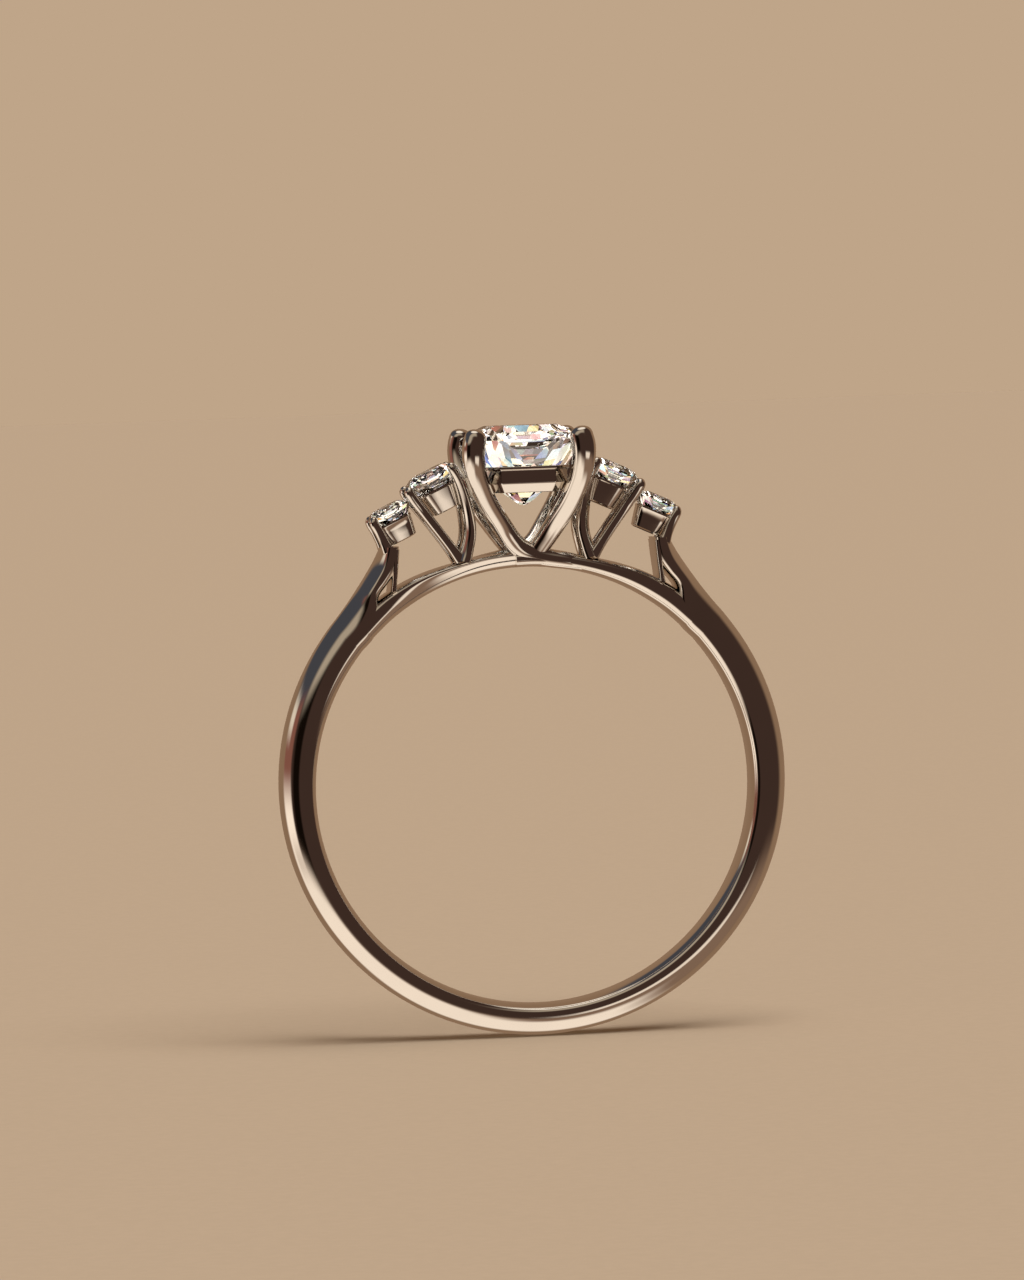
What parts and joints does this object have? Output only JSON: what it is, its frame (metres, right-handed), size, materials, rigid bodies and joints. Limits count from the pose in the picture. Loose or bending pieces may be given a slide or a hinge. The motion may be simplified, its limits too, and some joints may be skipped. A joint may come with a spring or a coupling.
{
  "type": "engagement ring",
  "caption": "Five-stone ring: a claw-set cut-corner rectangular diamond on crossing claws, flanked by stepped pairs of smaller square diamonds on a polished split-shoulder band.",
  "frame": {"origin": "centre of the finger bore, midway along the band's width", "axes": "+X along the row of stones, +Y along the finger, +Z from the finger up to the centre stone"},
  "size_m": [0.0192, 0.0054, 0.0231],
  "materials": {
    "white_gold": "mirror polished",
    "diamond": "clear, facet cut and polished"
  },
  "bodies": {
    "root": {"bridge_left": "white_gold", "bridge_right": "white_gold", "centre_collet": "white_gold", "centre_diamond": "diamond", "claw_back_left": "white_gold", "claw_back_right": "white_gold", "claw_front_left": "white_gold", "claw_front_right": "white_gold", "inner_claw_left_back": "white_gold", "inner_claw_left_front": "white_gold", "inner_claw_right_back": "white_gold", "inner_claw_right_front": "white_gold", "inner_collet_left": "white_gold", "inner_collet_right": "white_gold", "inner_diamond_left": "diamond", "inner_diamond_right": "diamond", "outer_claw_left_back": "white_gold", "outer_claw_left_front": "white_gold", "outer_claw_right_back": "white_gold", "outer_claw_right_front": "white_gold", "outer_collet_left": "white_gold", "outer_collet_right": "white_gold", "outer_diamond_left": "diamond", "outer_diamond_right": "diamond", "shank": "white_gold", "shared_claw_left_back": "white_gold", "shared_claw_left_front": "white_gold", "shared_claw_right_back": "white_gold", "shared_claw_right_front": "white_gold", "shoulder_left": "white_gold", "shoulder_right": "white_gold"}
  },
  "joints": []
}
